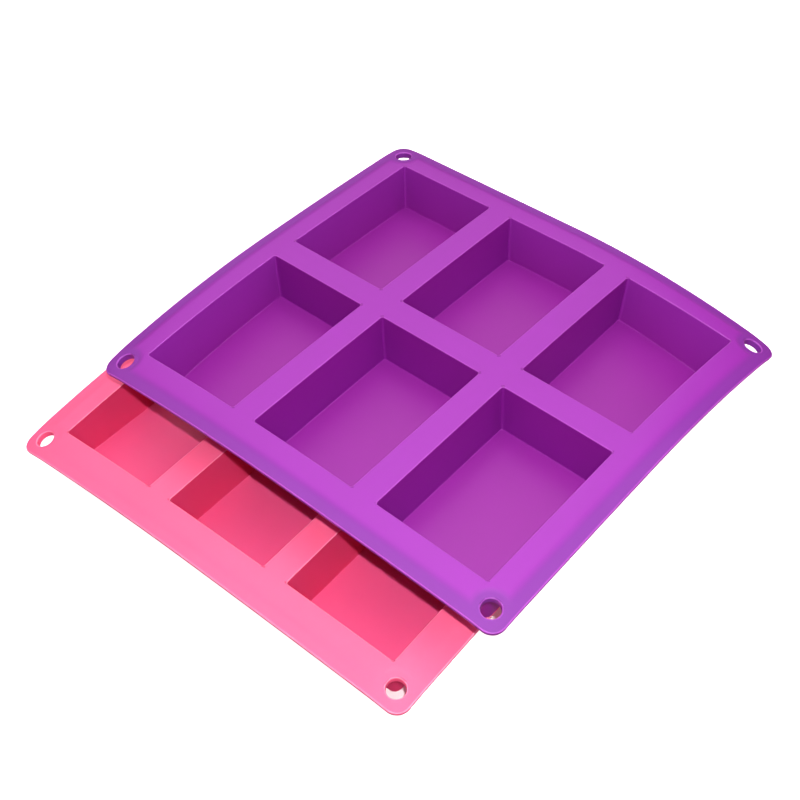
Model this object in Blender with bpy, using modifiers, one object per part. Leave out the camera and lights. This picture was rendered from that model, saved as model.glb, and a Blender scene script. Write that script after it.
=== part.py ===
"""Two silicone soap moulds, one lying across the other.

Each mould is a single soft moulding: a thin sheet with rows of straight-sided cavities sunk in
it, a stepped-down lip all round and a hanging hole in each corner.  The lower mould stands with
its cups flat on the bench.  The upper one lies across it, shifted and turned a little, and lifts
straight off.  Metres, +Z up, origin on the bench under the middle of the pair's footprint.
"""
import bmesh
import bpy
from math import cos, hypot, pi, radians, sin
from mathutils import Matrix, Vector

# Cavities, one for each bar of soap
CAVITY_WIDTH = 0.055       # along X, at the rim
CAVITY_LENGTH = 0.0794     # along Y, at the rim
CAVITY_DEPTH = 0.0240
CAVITY_DRAFT = 0.0015      # how far a wall leans in on its way down
CAVITY_CORNER = 0.0012     # radius of the upright inside corners
COLUMNS = 3
ROWS = 2

# Sheet that carries the cavities
COLUMN_RIB = 0.0126        # between neighbouring columns
ROW_RIB = 0.0133           # between neighbouring rows
SIDE_FLANGE = 0.0160       # from the outer columns to the outline
END_FLANGE = 0.0162        # from the outer rows to the outline
SILICONE = 0.0022          # thickness of the sheet, the walls and the floors
OUTLINE_CORNER = 0.0064
LIP_WIDTH = 0.0042         # flat lip along the outline
SHOULDER_WIDTH = 0.0036    # slope between the lip and the raised frame
LIP_DROP = 0.0005          # how far the lip lies below the frame

# Hanging holes
HOLE_DIAMETER = 0.008
HOLE_TO_EDGE = 0.0086
EYELET_DIAMETER = 0.015    # thicker ring of silicone round each hole
EYELET_DEPTH = 0.0010      # how far that ring stands below the sheet

# How the soft sheet sags away from its middle, measured at the ends of the cavity field
RIGHT_SIDE_SAG = 0.0016
NEAR_END_SAG = 0.0010
FAR_END_SAG = 0.0014
NEAR_LEFT_SAG = 0.0042
FAR_RIGHT_SAG = 0.0066
FLANGE_CURL = 0.0032       # extra droop at FLANGE_CURL_SPAN beyond the cavity field
FLANGE_CURL_SPAN = 0.025

# How the upper mould lies on the lower one
UPPER_SHIFT_X = 0.0202
UPPER_SHIFT_Y = 0.0367
UPPER_TURN = radians(-1.6)
STACK_GAP = 0.0003

# Worked out from the sizes above
HEIGHT = CAVITY_DEPTH + SILICONE
FIELD_X = (COLUMNS * CAVITY_WIDTH + (COLUMNS - 1) * COLUMN_RIB) / 2
FIELD_Y = (ROWS * CAVITY_LENGTH + (ROWS - 1) * ROW_RIB) / 2
OUTER_X = FIELD_X + SIDE_FLANGE
OUTER_Y = FIELD_Y + END_FLANGE

# Fineness of the mesh
CELLS_ACROSS = 3           # cells over a cavity's width
CELLS_ALONG = 4            # cells over its length
TRIM_MARGIN = 0.002        # the blank sheet is this much larger than the outline all round
CUT_REACH = 0.05           # half-height of a cutter, well past both faces of a mould
SAMPLE_STEP = 0.001        # spacing of the points that find where the upper mould touches

UPPER_COLOUR = (0.434, 0.068, 0.578, 1.0)
LOWER_COLOUR = (1.0, 0.187, 0.381, 1.0)


def clear_scene():
    for thing in list(bpy.data.objects):
        bpy.data.objects.remove(thing)


def new_collection(name):
    group = bpy.data.collections.new(name)
    bpy.context.scene.collection.children.link(group)
    return group


def silicone(name, colour):
    material = bpy.data.materials.new(name)
    material.use_nodes = True
    shader = material.node_tree.nodes["Principled BSDF"]
    shader.inputs["Base Color"].default_value = colour
    shader.inputs["Roughness"].default_value = 0.45
    shader.inputs["Metallic"].default_value = 0.0
    material.diffuse_color = colour
    return material


def cavity_spans(count, size, rib):
    """Low and high edge of each cavity along one axis, about the middle."""
    start = -(count * size + (count - 1) * rib) / 2
    return [(start + i * (size + rib), start + i * (size + rib) + size) for i in range(count)]


COLUMN_SPANS = cavity_spans(COLUMNS, CAVITY_WIDTH, COLUMN_RIB)
ROW_SPANS = cavity_spans(ROWS, CAVITY_LENGTH, ROW_RIB)


def sag(x, y):
    """How far the sheet hangs below its middle at (x, y)."""
    u = x / FIELD_X
    v = y / FIELD_Y
    side = RIGHT_SIDE_SAG if u > 0 else 0.0
    end = FAR_END_SAG if v > 0 else NEAR_END_SAG
    corner = 0.0
    if u < 0 and v < 0:
        corner = NEAR_LEFT_SAG
    if u > 0 and v > 0:
        corner = FAR_RIGHT_SAG
    beyond = hypot(max(0.0, abs(x) - FIELD_X), max(0.0, abs(y) - FIELD_Y))
    curl = FLANGE_CURL * (beyond / FLANGE_CURL_SPAN) ** 2
    return side * u * u + end * v * v + corner * u * u * v * v + curl


def slope(x, y):
    """Slopes of the sagging sheet along X and Y."""
    step = 0.0005
    along_x = (sag(x - step, y) - sag(x + step, y)) / (2 * step)
    along_y = (sag(x, y - step) - sag(x, y + step)) / (2 * step)
    return along_x, along_y


def draped(point):
    """The point when the whole mould follows the sag, its cups square to the sheet."""
    depth = -point.z
    slope_x, slope_y = slope(point.x, point.y)
    return Vector((
        point.x + depth * slope_x,
        point.y + depth * slope_y,
        -depth - sag(point.x, point.y),
    ))


def standing(point):
    """The point when the cups stand flat on the bench and only the sheet above them sags."""
    share = max(0.0, 1 + point.z / HEIGHT)
    return Vector((point.x, point.y, point.z - share * sag(point.x, point.y)))


def stations(spans, cells, outer):
    """Grid lines along one axis: outline, lip, shoulder, then every cavity with its cells."""
    edge = outer - LIP_WIDTH
    lines = [-outer - TRIM_MARGIN, -edge, -(edge - SHOULDER_WIDTH)]
    for low, high in spans:
        lines += [low + (high - low) * i / cells for i in range(cells + 1)]
    return lines + [edge - SHOULDER_WIDTH, edge, outer + TRIM_MARGIN]


def sheet_with_cups():
    """Open surface of the top side: the sheet on its grid with the cups pushed down into it."""
    xs = stations(COLUMN_SPANS, CELLS_ACROSS, OUTER_X)
    ys = stations(ROW_SPANS, CELLS_ALONG, OUTER_Y)
    surface = bmesh.new()
    bmesh.ops.create_grid(surface, x_segments=len(xs) - 1, y_segments=len(ys) - 1, size=1.0)
    for vert in surface.verts:
        column = round((vert.co.x + 1) / 2 * (len(xs) - 1))
        row = round((vert.co.y + 1) / 2 * (len(ys) - 1))
        on_lip = column in (0, 1, len(xs) - 2, len(xs) - 1) or row in (0, 1, len(ys) - 2, len(ys) - 1)
        vert.co = Vector((xs[column], ys[row], -LIP_DROP if on_lip else 0.0))
    for column in COLUMN_SPANS:
        for row in ROW_SPANS:
            push_cup(surface, column, row)
    return surface


def push_cup(surface, column, row):
    """Sinks one cavity: its faces go down, its walls lean in and its upright corners are rounded."""
    inside = [
        face for face in surface.faces
        if column[0] < face.calc_center_median().x < column[1]
        and row[0] < face.calc_center_median().y < row[1]
    ]
    sunk = bmesh.ops.extrude_face_region(surface, geom=inside)["geom"]
    bmesh.ops.delete(surface, geom=[face for face in inside if face.is_valid], context="FACES_ONLY")
    floor = [item for item in sunk if isinstance(item, bmesh.types.BMVert)]
    middle = Vector((sum(column) / 2, sum(row) / 2, 0.0))
    lean_x = 1 - 2 * CAVITY_DRAFT / CAVITY_WIDTH
    lean_y = 1 - 2 * CAVITY_DRAFT / CAVITY_LENGTH
    bmesh.ops.translate(surface, verts=floor, vec=(0.0, 0.0, -CAVITY_DEPTH))
    bmesh.ops.scale(surface, verts=floor, vec=(lean_x, lean_y, 1.0), space=Matrix.Translation(-middle))
    floor_set = set(floor)
    uprights = []
    for edge in surface.edges:
        ends = [vert in floor_set for vert in edge.verts]
        if ends[0] == ends[1]:
            continue
        rim = edge.verts[1] if ends[0] else edge.verts[0]
        at_corner_x = min(abs(rim.co.x - limit) for limit in column) < CAVITY_CORNER / 2
        at_corner_y = min(abs(rim.co.y - limit) for limit in row) < CAVITY_CORNER / 2
        if at_corner_x and at_corner_y:
            uprights.append(edge)
    bmesh.ops.bevel(
        surface, geom=uprights, offset=CAVITY_CORNER, offset_type="OFFSET", segments=2,
        profile=0.5, affect="EDGES",
    )


def hole_places():
    reach_x = OUTER_X - HOLE_TO_EDGE
    reach_y = OUTER_Y - HOLE_TO_EDGE
    return [(side * reach_x, end * reach_y) for side in (-1, 1) for end in (-1, 1)]


def corner_cylinders(name, diameter, low, high, cutters):
    """One upright cylinder at each corner hole, all in one object."""
    shape = bmesh.new()
    for x, y in hole_places():
        bmesh.ops.create_cone(
            shape, cap_ends=True, segments=32, radius1=diameter / 2, radius2=diameter / 2,
            depth=high - low, matrix=Matrix.Translation((x, y, (low + high) / 2)),
        )
    return guide(name, shape, cutters)


def outline_prism(name, cutters):
    """A tall block with rounded upright corners that gives the mould its outline."""
    shape = bmesh.new()
    block = bmesh.ops.create_cube(shape, size=2.0)["verts"]
    bmesh.ops.scale(shape, verts=block, vec=(OUTER_X, OUTER_Y, CUT_REACH))
    uprights = [edge for edge in shape.edges if abs(edge.verts[0].co.z - edge.verts[1].co.z) > CUT_REACH]
    bmesh.ops.bevel(
        shape, geom=uprights, offset=OUTLINE_CORNER, offset_type="OFFSET", segments=8,
        profile=0.5, affect="EDGES",
    )
    return guide(name, shape, cutters)


def guide(name, shape, cutters):
    mesh = bpy.data.meshes.new(name)
    shape.to_mesh(mesh)
    shape.free()
    thing = bpy.data.objects.new(name, mesh)
    thing.hide_render = True
    thing.display_type = "WIRE"
    cutters.objects.link(thing)
    return thing


def boolean(thing, name, operation, other):
    step = thing.modifiers.new(name, "BOOLEAN")
    step.operation = operation
    step.solver = "EXACT"
    step.object = other


def flat_moulding(guides):
    """The mould before it sags, its frame in the plane z = 0, as one closed mesh."""
    surface = sheet_with_cups()
    mesh = bpy.data.meshes.new("moulding_surface")
    surface.to_mesh(mesh)
    surface.free()
    blank = bpy.data.objects.new("moulding_blank", mesh)
    bpy.context.scene.collection.objects.link(blank)
    wall = blank.modifiers.new("wall", "SOLIDIFY")
    wall.thickness = SILICONE
    wall.offset = -1.0
    wall.use_even_offset = True
    boolean(blank, "eyelets", "UNION", guides["eyelets"])
    boolean(blank, "outline", "INTERSECT", guides["outline"])
    boolean(blank, "holes", "DIFFERENCE", guides["holes"])
    bpy.context.view_layer.update()
    shaped = blank.evaluated_get(bpy.context.evaluated_depsgraph_get())
    result = bpy.data.meshes.new_from_object(shaped)
    bpy.data.objects.remove(blank)
    return result


def mould(name, flat, drape, material, group):
    """A mould with its own mesh, bent by drape, its origin on its base under its middle."""
    shape = bmesh.new()
    shape.from_mesh(flat)
    bmesh.ops.remove_doubles(shape, verts=shape.verts, dist=0.00001)
    for vert in shape.verts:
        vert.co = drape(vert.co) + Vector((0.0, 0.0, HEIGHT))
    bmesh.ops.triangulate(shape, faces=shape.faces)
    mesh = bpy.data.meshes.new(name)
    shape.to_mesh(mesh)
    shape.free()
    mesh.materials.clear()
    mesh.materials.append(material)
    mesh.shade_smooth()
    mesh.set_sharp_from_angle(angle=radians(30))
    thing = bpy.data.objects.new(name, mesh)
    group.objects.link(thing)
    return thing


def on_sheet(x, y):
    """Whether a mould has sheet, and not a cavity's mouth, at (x, y)."""
    in_column = any(low < x < high for low, high in COLUMN_SPANS)
    in_row = any(low < y < high for low, high in ROW_SPANS)
    return abs(x) < OUTER_X and abs(y) < OUTER_Y and not (in_column and in_row)


def run(low, high):
    """Points from low to high, no further apart than SAMPLE_STEP."""
    count = int((high - low) / SAMPLE_STEP) + 1
    return [low + (high - low) * i / count for i in range(count + 1)]


def resting_height():
    """Height of the upper mould's base when its cups just clear the lower mould's sheet."""
    foot = SILICONE - CAVITY_DRAFT
    feet_x = [x for low, high in COLUMN_SPANS for x in run(low - foot, high + foot)]
    feet_y = [y for low, high in ROW_SPANS for y in run(low - foot, high + foot)]
    highest = 0.0
    for x in feet_x:
        for y in feet_y:
            base = draped(Vector((x, y, -HEIGHT)))
            below_x = UPPER_SHIFT_X + base.x * cos(UPPER_TURN) - base.y * sin(UPPER_TURN)
            below_y = UPPER_SHIFT_Y + base.x * sin(UPPER_TURN) + base.y * cos(UPPER_TURN)
            if on_sheet(below_x, below_y):
                highest = max(highest, -sag(below_x, below_y) - base.z)
    return highest + STACK_GAP


def centre_pair(pair):
    """Shifts both moulds so that the middle of their joint footprint is over the origin."""
    bpy.context.view_layer.update()
    corners = [thing.matrix_world @ vert.co for thing in pair for vert in thing.data.vertices]
    middle_x = (min(p.x for p in corners) + max(p.x for p in corners)) / 2
    middle_y = (min(p.y for p in corners) + max(p.y for p in corners)) / 2
    for thing in pair:
        thing.location.x -= middle_x
        thing.location.y -= middle_y


def build():
    clear_scene()
    group = new_collection("soap_mould_pair")
    cutters = new_collection("cutters")
    eyelet_low = -LIP_DROP - SILICONE - EYELET_DEPTH
    guides = {
        "eyelets": corner_cylinders(
            "eyelet_rings", EYELET_DIAMETER, eyelet_low, -LIP_DROP - SILICONE / 2, cutters
        ),
        "holes": corner_cylinders("hole_cutters", HOLE_DIAMETER, -CUT_REACH, CUT_REACH, cutters),
        "outline": outline_prism("outline_block", cutters),
    }
    flat = flat_moulding(guides)
    lower = mould("lower_mould", flat, standing, silicone("pink_silicone", LOWER_COLOUR), group)
    upper = mould("upper_mould", flat, draped, silicone("purple_silicone", UPPER_COLOUR), group)
    upper.location = (UPPER_SHIFT_X, UPPER_SHIFT_Y, resting_height())
    upper.rotation_euler = (0.0, 0.0, UPPER_TURN)
    centre_pair([lower, upper])
    bpy.data.meshes.remove(flat)


build()
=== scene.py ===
from math import cos, hypot, pi, radians, sin

import bpy
from mathutils import Matrix, Vector


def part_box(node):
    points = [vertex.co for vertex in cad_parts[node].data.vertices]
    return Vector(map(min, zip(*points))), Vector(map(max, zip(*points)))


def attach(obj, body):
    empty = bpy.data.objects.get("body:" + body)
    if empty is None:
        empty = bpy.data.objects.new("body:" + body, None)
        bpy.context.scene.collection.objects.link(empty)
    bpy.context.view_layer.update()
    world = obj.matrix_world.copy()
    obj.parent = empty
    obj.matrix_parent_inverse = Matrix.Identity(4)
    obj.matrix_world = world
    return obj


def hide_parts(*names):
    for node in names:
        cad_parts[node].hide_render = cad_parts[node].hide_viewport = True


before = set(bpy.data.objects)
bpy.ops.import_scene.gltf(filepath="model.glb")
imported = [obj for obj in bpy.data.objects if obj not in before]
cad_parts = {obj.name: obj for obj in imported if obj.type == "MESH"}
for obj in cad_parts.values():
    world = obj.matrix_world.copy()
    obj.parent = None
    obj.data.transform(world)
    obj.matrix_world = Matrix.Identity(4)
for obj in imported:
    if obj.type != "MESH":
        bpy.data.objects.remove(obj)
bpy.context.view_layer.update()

print("frame loaded:", sorted(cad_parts))

# One moulding, used for both colours. Everything is in metres.
moulding = {
    "columns": 3, "rows": 2,
    "cavityWidth": 0.055, "cavityLength": 0.0794, "cavityDepth": 0.0240,
    "draft": 0.0015, "uprightRadius": 0.0011,
    "columnRib": 0.0126, "rowRib": 0.0133,
    "sideFlange": 0.0160, "endFlange": 0.0162,
    "silicone": 0.0022, "eyelet": 0.0032, "eyeletReach": 0.0068,
    "holeRadius": 0.004, "holeToEdge": 0.0086, "holePatch": 0.0056, "holeRings": 9,
    "outlineCorner": 0.0064,
    "lip": 0.0042, "shoulder": 0.0036, "lipDrop": 0.0005,
    "arcInner": 0.0060, "arcOuter": 0.0090,
    "rimRound": 0.0004, "holeRound": 0.0005, "edgeRound": 0.0006,
    # weights of the painted wall shade on inner and outer cup walls
    "innerShade": 1.0, "outerShade": 0.3,
    # shares of the painted edge highlight on cavity rims, hole rims and the outline
    "rimHighlight": 0.5, "holeHighlight": 0.6, "outlineHighlight": 0.85,
}
# How finely the sheet is cut up, and how close its extra lines lie to the cavities' rims
fineness = {
    "cellsAcross": 10, "cellsAlong": 14, "shoulderLines": 4, "fieldGap": 0.0004,
    "insideRim": 0.0016, "outsideRim": 0.0014, "openRings": 4,
    "uprightSegments": 4, "edgeSegments": 4, "slopeStep": 0.0005, "tiny": 0.00001, "small": 0.001,
    "patchCentre": 0.01, "patchEdge": 1.0001, "sharpBend": radians(50),
    "holeEdgeReach": 1.3, "holeLineReach": 1.5, "facingUp": (0.1, 0.5),
}
# How far the soft sheet hangs below its middle at the ends of the cavity field
hang = {
    "rightSide": 0.0016, "nearEnd": 0.0010, "farEnd": 0.0014,
    "nearLeft": 0.0042, "farRight": 0.0066, "curl": 0.0032, "curlSpan": 0.025,
}
# Where the upper mould lies, from the middle of the lower one
stack = {"shift": (0.0202, 0.0367), "turn": radians(-1.6)}


# Half the length of a run of cavities with ribs between them
def halfRun(count, size, rib):
    return (count * size + (count - 1) * rib) / 2


fieldX = halfRun(moulding["columns"], moulding["cavityWidth"], moulding["columnRib"])
fieldY = halfRun(moulding["rows"], moulding["cavityLength"], moulding["rowRib"])
outerX = fieldX + moulding["sideFlange"]
outerY = fieldY + moulding["endFlange"]
holeX = outerX - moulding["holeToEdge"]
holeY = outerY - moulding["holeToEdge"]
height = moulding["cavityDepth"] + moulding["silicone"]


# Low and high edge of each cavity along one axis
def spans(count, size, rib):
    start = -halfRun(count, size, rib)
    return [(start + i * (size + rib), start + i * (size + rib) + size) for i in range(count)]


columnSpans = spans(moulding["columns"], moulding["cavityWidth"], moulding["columnRib"])
rowSpans = spans(moulding["rows"], moulding["cavityLength"], moulding["rowRib"])


# 0 below low, 1 above high, eased between
def smooth(low, high, value):
    t = min(1.0, max(0.0, (value - low) / (high - low)))
    return t * t * (3 - 2 * t)


def deselectAll():
    bpy.ops.object.select_all(action="DESELECT")


def only(thing):
    deselectAll()
    thing.select_set(True)
    bpy.context.view_layer.objects.active = thing


def editing(thing, mode):
    only(thing)
    bpy.ops.object.mode_set(mode="EDIT")
    bpy.ops.mesh.select_mode(type=mode)
    bpy.ops.mesh.select_all(action="DESELECT")
    bpy.ops.object.mode_set(mode="OBJECT")


# Selects the faces, edges or vertices that pass the test, and returns how many
def selectBy(thing, kind, test):
    editing(thing, {"faces": "FACE", "edges": "EDGE", "verts": "VERT"}[kind])
    mesh = thing.data
    items = {"faces": mesh.polygons, "edges": mesh.edges, "verts": mesh.vertices}[kind]
    count = 0
    for item in items:
        if test(item):
            item.select = True
            count += 1
    bpy.ops.object.mode_set(mode="EDIT")
    return count


def doneEditing():
    bpy.ops.object.mode_set(mode="OBJECT")


# Places of the grid lines along one axis: fine round the holes and the shoulder, coarse over the cups
def gridLines(outer, hole, cavitySpans, cells):
    rings = moulding["holeRings"]
    inner = hole - moulding["holePatch"]
    right = [hole + moulding["holeToEdge"] * i / rings for i in range(1, rings)]
    right += [hole - moulding["holePatch"] * i / rings for i in range(rings + 1)]
    steps = fineness["shoulderLines"]
    reach = inner - cavitySpans[-1][1] - fineness["fieldGap"]
    right += [inner - reach * i / steps for i in range(1, steps + 1)]
    lines = right + [-x for x in right]
    for low, high in cavitySpans:
        lines += [low + (high - low) * i / cells for i in range(cells + 1)]
        lines += [low + fineness["insideRim"], high - fineness["insideRim"]]
    for (_, low), (high, _) in zip(cavitySpans, cavitySpans[1:]):
        lines += [low + fineness["outsideRim"], (low + high) / 2, high - fineness["outsideRim"]]
    return sorted(x for x in lines if abs(x) < outer - fineness["small"] / 10)


def flatSheet():
    bpy.ops.mesh.primitive_plane_add(size=2, location=(0, 0, 0))
    sheet = bpy.context.object
    sheet.name = "flat_sheet"
    only(sheet)
    bpy.ops.transform.resize(value=(outerX, outerY, 1), center_override=(0, 0, 0))
    bpy.ops.object.transform_apply(location=True, rotation=True, scale=True)
    bpy.ops.object.mode_set(mode="EDIT")
    for x in gridLines(outerX, holeX, columnSpans, fineness["cellsAcross"]):
        bpy.ops.mesh.select_all(action="SELECT")
        bpy.ops.mesh.bisect(plane_co=(x, 0, 0), plane_no=(1, 0, 0))
    for y in gridLines(outerY, holeY, rowSpans, fineness["cellsAlong"]):
        bpy.ops.mesh.select_all(action="SELECT")
        bpy.ops.mesh.bisect(plane_co=(0, y, 0), plane_no=(0, 1, 0))
    doneEditing()
    return sheet


def nearTo(value, limits, gap):
    return min(abs(value - limit) for limit in limits) < gap


def sinkCups(sheet):
    for column in columnSpans:
        for row in rowSpans:
            middle = (sum(column) / 2, sum(row) / 2)
            selectBy(sheet, "faces", lambda f: column[0] < f.center.x < column[1]
                     and row[0] < f.center.y < row[1] and f.center.z > -fineness["small"])
            bpy.ops.mesh.extrude_region_move(
                TRANSFORM_OT_translate={"value": (0, 0, -moulding["cavityDepth"])})
            leanX = 1 - 2 * moulding["draft"] / moulding["cavityWidth"]
            leanY = 1 - 2 * moulding["draft"] / moulding["cavityLength"]
            bpy.ops.transform.resize(value=(leanX, leanY, 1), center_override=(*middle, 0))
            doneEditing()
    limitsX = [x for span in columnSpans for x in span]
    limitsY = [y for span in rowSpans for y in span]

    def upright(edge):
        a, b = (sheet.data.vertices[i].co for i in edge.vertices)
        if abs(a.z - b.z) < moulding["cavityDepth"] / 2:
            return False
        top = a if a.z > b.z else b
        return nearTo(top.x, limitsX, fineness["tiny"]) and nearTo(top.y, limitsY, fineness["tiny"])

    # painted shade: walls between cups take the shaded wall colour in full, outer walls only part of it,
    # standing in for light coming through their thin silicone
    shade = sheet.data.attributes.new("wallShade", "FLOAT", "FACE")
    innerX = [x for x in limitsX if abs(x) < fieldX - fineness["small"]]
    innerY = [y for y in limitsY if abs(y) < fieldY - fineness["small"]]
    for face in sheet.data.polygons:
        inner = (nearTo(face.center.x, innerX, fineness["small"])
                 or nearTo(face.center.y, innerY, fineness["small"]))
        share = moulding["innerShade"] if inner else moulding["outerShade"]
        shade.data[face.index].value = share if abs(face.normal.z) < 0.5 else 0.0
    found = selectBy(sheet, "edges", upright)
    bpy.ops.mesh.bevel(offset=moulding["uprightRadius"], segments=fineness["uprightSegments"],
                       affect="EDGES", clamp_overlap=False)
    doneEditing()
    print("upright cavity corners rounded:", found)


# Takes out the middle of each corner patch, then eases the patch's rings from a square to the hole
def openHoles(sheet):
    rings = moulding["holeRings"]
    start = fineness["openRings"] / rings
    arcStart = moulding["holeToEdge"] - moulding["outlineCorner"]

    def patch(x, y):
        dx, dy = abs(x) - holeX, abs(y) - holeY
        s = dx / (moulding["holeToEdge"] if dx > 0 else moulding["holePatch"])
        t = dy / (moulding["holeToEdge"] if dy > 0 else moulding["holePatch"])
        return s, t, max(abs(s), abs(t))

    selectBy(sheet, "faces", lambda f: patch(f.center.x, f.center.y)[2] < start)
    bpy.ops.mesh.delete(type="FACE")
    doneEditing()
    for vert in sheet.data.vertices:
        s, t, ring = patch(vert.co.x, vert.co.y)
        if ring > fineness["patchEdge"] or ring < fineness["patchCentre"]:
            continue
        if abs(s) >= abs(t):
            angle = pi / 4 * t / s + (pi if s < 0 else 0)
        else:
            angle = pi / 2 - pi / 4 * s / t + (pi if t < 0 else 0)
        reachX = moulding["holeToEdge"] if s > 0 else moulding["holePatch"]
        reachY = moulding["holeToEdge"] if t > 0 else moulding["holePatch"]
        rim = Vector((s / ring * reachX, t / ring * reachY))
        if rim.x > arcStart and rim.y > arcStart:
            past = (min(rim) - arcStart) / moulding["outlineCorner"] * pi / 4
            turn = past if s >= t else pi / 2 - past
            rim = Vector((cos(turn), sin(turn))) * moulding["outlineCorner"] + Vector((arcStart, arcStart))
        hole = Vector((cos(angle), sin(angle))) * moulding["holeRadius"]
        place = hole.lerp(rim, max(0.0, (ring - start) / (1 - start)))
        vert.co.x = (holeX + place.x) * (1 if vert.co.x > 0 else -1)
        vert.co.y = (holeY + place.y) * (1 if vert.co.y > 0 else -1)


# 1 on the low lip and round the holes, 0 on the raised frame
def lipAt(x, y):
    fromEdge = min(outerX - abs(x), outerY - abs(y))
    fromHole = hypot(abs(x) - holeX, abs(y) - holeY)
    band = 1 - smooth(moulding["lip"], moulding["lip"] + moulding["shoulder"], fromEdge)
    ring = 1 - smooth(moulding["arcInner"], moulding["arcOuter"], fromHole)
    return 1 - (1 - band) * (1 - ring)


def stepLip(sheet):
    # the lip share also drives the painted lip shade in the material
    lip = sheet.data.attributes.new("lip", "FLOAT", "POINT")
    # cupDepth carries the painted shade that deepens down the cups
    depth = sheet.data.attributes.new("cupDepth", "FLOAT", "POINT")
    for i, vert in enumerate(sheet.data.vertices):
        share = lipAt(vert.co.x, vert.co.y) if vert.co.z > -fineness["small"] else 0.0
        lip.data[i].value = share
        depth.data[i].value = -vert.co.z / moulding["cavityDepth"]
        vert.co.z -= moulding["lipDrop"] * share


# How far the sheet hangs below its middle at (x, y)
def sag(x, y):
    u, v = x / fieldX, y / fieldY
    side = hang["rightSide"] if u > 0 else 0.0
    end = hang["farEnd"] if v > 0 else hang["nearEnd"]
    corner = 0.0
    if u < 0 and v < 0:
        corner = hang["nearLeft"]
    if u > 0 and v > 0:
        corner = hang["farRight"]
    beyond = hypot(max(0.0, abs(x) - fieldX), max(0.0, abs(y) - fieldY))
    curl = hang["curl"] * (beyond / hang["curlSpan"]) ** 2
    return side * u * u + end * v * v + corner * u * u * v * v + curl


# The whole mould follows the sag, its cups square to the sheet
def draped(point):
    step = fineness["slopeStep"]
    slopeX = (sag(point.x - step, point.y) - sag(point.x + step, point.y)) / (2 * step)
    slopeY = (sag(point.x, point.y - step) - sag(point.x, point.y + step)) / (2 * step)
    return Vector((point.x - point.z * slopeX, point.y - point.z * slopeY, point.z - sag(point.x, point.y)))


# The cups stand flat on the bench and the sheet above them sags
def standing(point):
    share = max(0.0, 1 + point.z / moulding["cavityDepth"])
    return Vector((point.x, point.y, point.z - share * sag(point.x, point.y)))


def applyModifiers(thing):
    only(thing)
    for modifier in list(thing.modifiers):
        bpy.ops.object.modifier_apply(modifier=modifier.name)


# Gives the surface its thickness, more round the holes, and marks the verts of the cut edges
def thicken(thing):
    mesh = thing.data
    weight = thing.vertex_groups.new(name="thickness")
    thing.vertex_groups.new(name="cutEdge")
    plain = moulding["silicone"] / moulding["eyelet"]
    for vert in mesh.vertices:
        fromHole = hypot(abs(vert.co.x) - holeX, abs(vert.co.y) - holeY)
        near = 1 - smooth(moulding["eyeletReach"], moulding["eyeletReach"] + fineness["small"], fromHole)
        weight.add([vert.index], plain + (1 - plain) * near, "REPLACE")
    wall = thing.modifiers.new("wall", "SOLIDIFY")
    wall.thickness = moulding["eyelet"]
    wall.offset = -1
    wall.use_even_offset = True
    wall.vertex_group = "thickness"
    wall.rim_vertex_group = "cutEdge"


def roundEdges(thing):
    mesh = thing.data
    cut = thing.vertex_groups["cutEdge"].index
    onCut = [any(g.group == cut and g.weight > 0.5 for g in v.groups) for v in mesh.vertices]
    normals = {}
    for face in mesh.polygons:
        for key in face.edge_keys:
            normals.setdefault(key, []).append(face.normal.copy())

    def bend(edge):
        pair = normals[edge.key]
        return pair[0].angle(pair[1]) if len(pair) == 2 else 0.0

    sharp = {edge.key for edge in mesh.edges if bend(edge) > fineness["sharpBend"]}
    cutKeys = {key for key in sharp if onCut[key[0]] and onCut[key[1]]}
    crease = mesh.attributes.new("bevel_weight_edge", "FLOAT", "EDGE")

    def radius(edge):
        if edge.key not in sharp:
            return 0.0
        if edge.key not in cutKeys:
            return moulding["rimRound"]
        end = mesh.vertices[edge.vertices[0]].co
        fromHole = hypot(abs(end.x) - holeX, abs(end.y) - holeY)
        atHole = fromHole < moulding["holeRadius"] * fineness["holeEdgeReach"]
        return moulding["holeRound"] if atHole else moulding["edgeRound"]

    for i, edge in enumerate(mesh.edges):
        crease.data[i].value = radius(edge) / moulding["edgeRound"]
    rounding = thing.modifiers.new("rounding", "BEVEL")
    rounding.limit_method = "WEIGHT"
    rounding.width = moulding["edgeRound"]
    rounding.segments = fineness["edgeSegments"]
    rounding.use_clamp_overlap = False
    rounding.material = 1
    print(thing.name, "edges rounded:", len(sharp), "of them on the outline and holes:", len(cutKeys))


# The rounding left its faces on the second slot: the ones that look up get a painted highlight, a lighter
# line standing in for the light these rounded edges catch
def markEdges(thing):
    line = thing.data.attributes.new("edgeHighlight", "FLOAT", "FACE")
    for face in thing.data.polygons:
        if face.material_index == 0:
            continue
        face.material_index = 0
        x, y = abs(face.center.x), abs(face.center.y)
        share = moulding["rimHighlight"] if face.center.z > -moulding["cavityDepth"] / 2 else 0.0
        if hypot(x - holeX, y - holeY) < moulding["holeRadius"] * fineness["holeLineReach"]:
            share = moulding["holeHighlight"]
        elif max(x - outerX, y - outerY) > -2 * moulding["edgeRound"]:
            share = moulding["outlineHighlight"]
        line.data[face.index].value = share * smooth(*fineness["facingUp"], face.normal.z)


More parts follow.
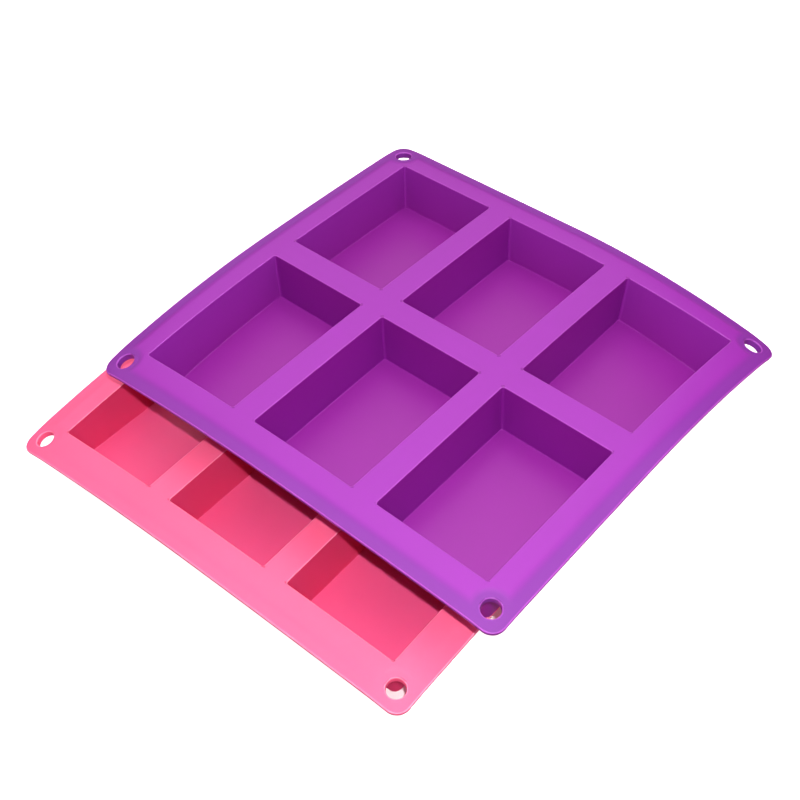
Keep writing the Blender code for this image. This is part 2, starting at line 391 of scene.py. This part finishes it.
def makeMould(name, node, body, sheet, bend, place, material):
    only(sheet)
    mesh = sheet.data.copy()
    mesh.name = name
    thing = bpy.data.objects.new(name, mesh)
    bpy.context.scene.collection.objects.link(thing)
    thicken(thing)
    for vert in mesh.vertices:
        vert.co = bend(vert.co)
    applyModifiers(thing)
    thing.data.materials.clear()
    thing.data.materials.append(material)
    thing.data.materials.append(material)
    roundEdges(thing)
    applyModifiers(thing)
    markEdges(thing)
    thing.data.materials.pop()
    thing.data.transform(place)
    for vert in thing.data.vertices:
        vert.co.z = max(vert.co.z, 0.0)
    only(thing)
    bpy.ops.object.shade_smooth()
    even = thing.modifiers.new("even normals", "WEIGHTED_NORMAL")
    even.keep_sharp = False
    even.weight = 50
    applyModifiers(thing)
    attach(thing, body)
    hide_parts(node)
    print(name, "faces:", len(thing.data.polygons))
    return thing


# An sRGB hex colour as linear RGBA
def linear(code):
    parts = [int(code[i:i + 2], 16) / 255 for i in (1, 3, 5)]
    return tuple(c / 12.92 if c <= 0.04045 else ((c + 0.055) / 1.055) ** 2.4 for c in parts) + (1.0,)


# Adds a node with its settings and input values, and links other sockets into it
def addNode(tree, kind, settings=None, inputs=None, links=None):
    node = tree.nodes.new(kind)
    for key, value in (settings or {}).items():
        setattr(node, key, value)
    for key, value in (inputs or {}).items():
        node.inputs[key].default_value = value
    for key, source in (links or {}).items():
        tree.links.new(source, node.inputs[key])
    return node


# Each mould's colours: frame is the silicone's own colour; the lip, cup and wall colours are painted shade
# and the light edge colour a painted highlight
purpleLook = {
    "frame": "#912DA8", "lip": "#7D2F9B", "cup": "#8C2095", "shadedWall": "#7E168C",
    "edgeHighlight": "#B357C8", "wallGain": 1.0,
    "roughness": 0.42, "scatter": 0.1, "radius": (0.0006, 0.0002, 0.0006),
}
# The pink lip has the frame's own colour
pinkLook = {
    "frame": "#FA6790", "lip": "#FA6790", "cup": "#E95487", "shadedWall": "#D93B6B",
    "edgeHighlight": "#FFA0BC", "wallGain": 3.4,
    "roughness": 0.42, "scatter": 0.1, "radius": (0.0008, 0.0002, 0.0003),
}


# What both colours share: soft clouds 36 mm across, and grain under 1 mm from the blasted tool
skin = {
    "cloudScale": 28.0, "cloudTone": 0.05, "grainScale": 1400.0, "grainStrength": 0.12, "grainHeight": 0.0001,
    "roughnessSpread": 0.05, "index": 1.45,
}


# Moulded silicone rubber: satin skin, light soaks in a little, fine bead-blast grain from the tool; painted
# shade on lip, cups and walls and a painted highlight along the rounded edges
def siliconeMaterial(name, look):
    material = bpy.data.materials.new(name)
    material.use_nodes = True
    tree = material.node_tree
    tree.nodes.clear()
    place = addNode(tree, "ShaderNodeTexCoord")
    lip = addNode(tree, "ShaderNodeAttribute", {"attribute_name": "lip"})
    cup = addNode(tree, "ShaderNodeAttribute", {"attribute_name": "cupDepth"})
    # painted shade: the lip is mixed to a darker colour for the light it loses where it slopes away; the pink
    # lip keeps the frame colour
    onLip = addNode(tree, "ShaderNodeMix", {"data_type": "RGBA"},
                    {"A": linear(look["frame"]), "B": linear(look["lip"])}, {"Factor": lip.outputs["Fac"]})
    # painted shade: the cups take a darker colour that grows with depth towards their floors
    inCup = addNode(tree, "ShaderNodeMix", {"data_type": "RGBA"}, {"B": linear(look["cup"])},
                    {"Factor": cup.outputs["Fac"], "A": onLip.outputs["Result"]})
    # painted shade on the cup walls, weighted by wallShade and wallGain
    wall = addNode(tree, "ShaderNodeAttribute", {"attribute_name": "wallShade"})
    shaded = addNode(tree, "ShaderNodeMath", {"operation": "MULTIPLY", "use_clamp": True},
                     {1: look["wallGain"]}, {0: wall.outputs["Fac"]})
    onWall = addNode(tree, "ShaderNodeMix", {"data_type": "RGBA"}, {"B": linear(look["shadedWall"])},
                     {"Factor": shaded.outputs["Value"], "A": inCup.outputs["Result"]})
    # painted highlight: a lighter colour on the rounded edges' faces that look up
    edge = addNode(tree, "ShaderNodeAttribute", {"attribute_name": "edgeHighlight"})
    onEdge = addNode(tree, "ShaderNodeMix", {"data_type": "RGBA"}, {"B": linear(look["edgeHighlight"])},
                     {"Factor": edge.outputs["Fac"], "A": onWall.outputs["Result"]})
    cloud = addNode(tree, "ShaderNodeTexNoise", None,
                    {"Scale": skin["cloudScale"], "Detail": 3.0, "Roughness": 0.55},
                    {"Vector": place.outputs["Object"]})
    tone = addNode(tree, "ShaderNodeMapRange", None,
                   {"To Min": 1 - skin["cloudTone"], "To Max": 1 + skin["cloudTone"]},
                   {"Value": cloud.outputs["Fac"]})
    toned = addNode(tree, "ShaderNodeMix", {"data_type": "RGBA", "blend_type": "MULTIPLY"}, {"Factor": 1.0},
                    {"A": onEdge.outputs["Result"], "B": tone.outputs["Result"]})
    grain = addNode(tree, "ShaderNodeTexNoise", None, {"Scale": skin["grainScale"], "Detail": 2.0},
                    {"Vector": place.outputs["Object"]})
    relief = addNode(tree, "ShaderNodeBump", None,
                     {"Strength": skin["grainStrength"], "Distance": skin["grainHeight"]},
                     {"Height": grain.outputs["Fac"]})
    rough = addNode(tree, "ShaderNodeMapRange", None,
                    {"To Min": look["roughness"] - skin["roughnessSpread"],
                     "To Max": look["roughness"] + skin["roughnessSpread"]},
                    {"Value": cloud.outputs["Fac"]})
    shader = addNode(tree, "ShaderNodeBsdfPrincipled", None, {
        "IOR": skin["index"], "Subsurface Weight": look["scatter"], "Subsurface Radius": look["radius"],
        "Subsurface Scale": 1.0, "Metallic": 0.0,
    }, {"Base Color": toned.outputs["Result"], "Roughness": rough.outputs["Result"],
        "Normal": relief.outputs["Normal"]})
    addNode(tree, "ShaderNodeOutputMaterial", None, None, {"Surface": shader.outputs["BSDF"]})
    return material


sheet = flatSheet()
print("flat sheet faces:", len(sheet.data.polygons))
sinkCups(sheet)
openHoles(sheet)
stepLip(sheet)

lowerLow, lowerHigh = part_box("lower_mould")
upperLow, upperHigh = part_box("upper_mould")
lowerMiddle = (lowerLow + lowerHigh) / 2
lowerPlace = Matrix.Translation((lowerMiddle.x, lowerMiddle.y, height))
upperPlace = Matrix.Translation((
    lowerMiddle.x + stack["shift"][0], lowerMiddle.y + stack["shift"][1], upperHigh.z,
)) @ Matrix.Rotation(stack["turn"], 4, "Z")

pink = siliconeMaterial("pink_moulded_silicone", pinkLook)
purple = siliconeMaterial("purple_moulded_silicone", purpleLook)
makeMould("pink_bar_mould", "lower_mould", "lower", sheet, standing, lowerPlace, pink)
makeMould("purple_bar_mould", "upper_mould", "upper", sheet, draped, upperPlace, purple)
bpy.data.objects.remove(sheet)

# A white sweep: a flat bench with sides that stand up behind everything
sweep = {"size": 8, "sides": 3, "drop": 0.0002}
bpy.ops.mesh.primitive_plane_add(size=sweep["size"], location=(0, 0, -sweep["drop"]))
bench = bpy.context.object
bench.name = "bench"
editing(bench, "EDGE")
bpy.ops.object.mode_set(mode="EDIT")
bpy.ops.mesh.select_all(action="SELECT")
bpy.ops.mesh.region_to_loop()
bpy.ops.mesh.extrude_region_move(TRANSFORM_OT_translate={"value": (0, 0, sweep["sides"])})
doneEditing()
# A white bench that glows evenly: painted light that keeps it white and hides the moulds' shadows on it, with
# the glow left out in boxes under the moulds so their shade shows there
glowingBench = bpy.data.materials.new("glowing_white_bench")
glowingBench.use_nodes = True
tableTop = glowingBench.node_tree.nodes["Principled BSDF"]
tableTop.inputs["Base Color"].default_value = (0.85, 0.83, 0.82, 1)
tableTop.inputs["Emission Color"].default_value = (1, 1, 1, 1)
tableTop.inputs["Roughness"].default_value = 0.6
glow = {"strength": 1.0, "edge": 0.001, "shades": [
    {"shift": (0, 0), "half": (0.1018, 0.0915)},
    {"shift": stack["shift"], "half": (0.0890, 0.0745)},
]}
tree = glowingBench.node_tree
where = addNode(tree, "ShaderNodeTexCoord")


# Distance outside a rectangle on the table
def outsideBox(middle, half):
    apart = addNode(tree, "ShaderNodeVectorMath", {"operation": "SUBTRACT"}, {1: (*middle, 0)},
                    {0: where.outputs["Object"]})
    size = addNode(tree, "ShaderNodeVectorMath", {"operation": "ABSOLUTE"}, None,
                   {0: apart.outputs["Vector"]})
    over = addNode(tree, "ShaderNodeVectorMath", {"operation": "SUBTRACT"}, {1: (*half, 0)},
                   {0: size.outputs["Vector"]})
    axes = addNode(tree, "ShaderNodeSeparateXYZ", None, None, {"Vector": over.outputs["Vector"]})
    return addNode(tree, "ShaderNodeMath", {"operation": "MAXIMUM"}, None,
                   {0: axes.outputs["X"], 1: axes.outputs["Y"]}).outputs["Value"]


edges = [outsideBox((lowerMiddle.x + shade["shift"][0], lowerMiddle.y + shade["shift"][1]), shade["half"])
         for shade in glow["shades"]]
nearest = addNode(tree, "ShaderNodeMath", {"operation": "MINIMUM"}, None, {0: edges[0], 1: edges[1]})
lit = addNode(tree, "ShaderNodeMapRange", {"interpolation_type": "SMOOTHSTEP"},
              {"From Min": -glow["edge"], "From Max": glow["edge"],
               "To Min": 0.0, "To Max": glow["strength"]},
              {"Value": nearest.outputs["Value"]})
tree.links.new(lit.outputs["Result"], tableTop.inputs["Emission Strength"])
bench.data.materials.append(glowingBench)
bench.visible_diffuse = False  # its glow stays out of the cups
bench.visible_glossy = False

world = bpy.data.worlds.new("soft_room")
world.use_nodes = True
air = world.node_tree.nodes["Background"]
air.inputs["Color"].default_value = (1.0, 0.30, 0.56, 1)  # rose light that the moulds throw on each other
air.inputs["Strength"].default_value = 0.40
bpy.context.scene.world = world

lights = {
    "keyByCamera": {"place": (0.279, -0.279, 0.500), "width": 0.012, "power": 3.0},
    "overheadSoftbox": {"place": (0.0, 0.1, 1.4), "width": 1.3, "power": 7.4},
    "backSoftbox": {"place": (-0.58, 0.69, 1.08), "width": 1.4, "power": 5.6},
    "leftSoftbox": {"place": (-1.1, -0.2, 0.9), "width": 1.0, "power": 2.4, "colour": (1.0, 0.75, 0.9)},
    "rightSoftbox": {"place": (1.0, 0.5, 0.9), "width": 1.0, "power": 2.5},
}
for name, setup in lights.items():
    lamp = bpy.data.lights.new(name, "AREA")
    lamp.shape = "SQUARE"
    lamp.size = setup["width"]
    lamp.energy = setup["power"]
    lamp.color = setup.get("colour", (1.0, 1.0, 1.0))
    lampObject = bpy.data.objects.new(name, lamp)
    lampObject.location = setup["place"]
    lampObject.rotation_euler = (-Vector(setup["place"])).to_track_quat("-Z", "Y").to_euler()
    bpy.context.scene.collection.objects.link(lampObject)

cameraSetup = {
    "lens": 53.716, "place": (0.24585, -0.27658, 0.41337),
    "azimuth": radians(41.729), "elevation": radians(46.567), "roll": radians(-2.881),
}
view = bpy.data.cameras.new("main_view")
view.lens = cameraSetup["lens"]
view.sensor_width = 36
camera = bpy.data.objects.new("main_view", view)
turn = (Matrix.Rotation(cameraSetup["azimuth"], 4, "Z")
        @ Matrix.Rotation(pi / 2 - cameraSetup["elevation"], 4, "X"))
roll = Matrix.Rotation(cameraSetup["roll"], 4, "Z")
camera.matrix_world = Matrix.Translation(cameraSetup["place"]) @ turn @ roll
bpy.context.scene.collection.objects.link(camera)
bpy.context.scene.camera = camera
bpy.context.scene.view_settings.view_transform = "Standard"
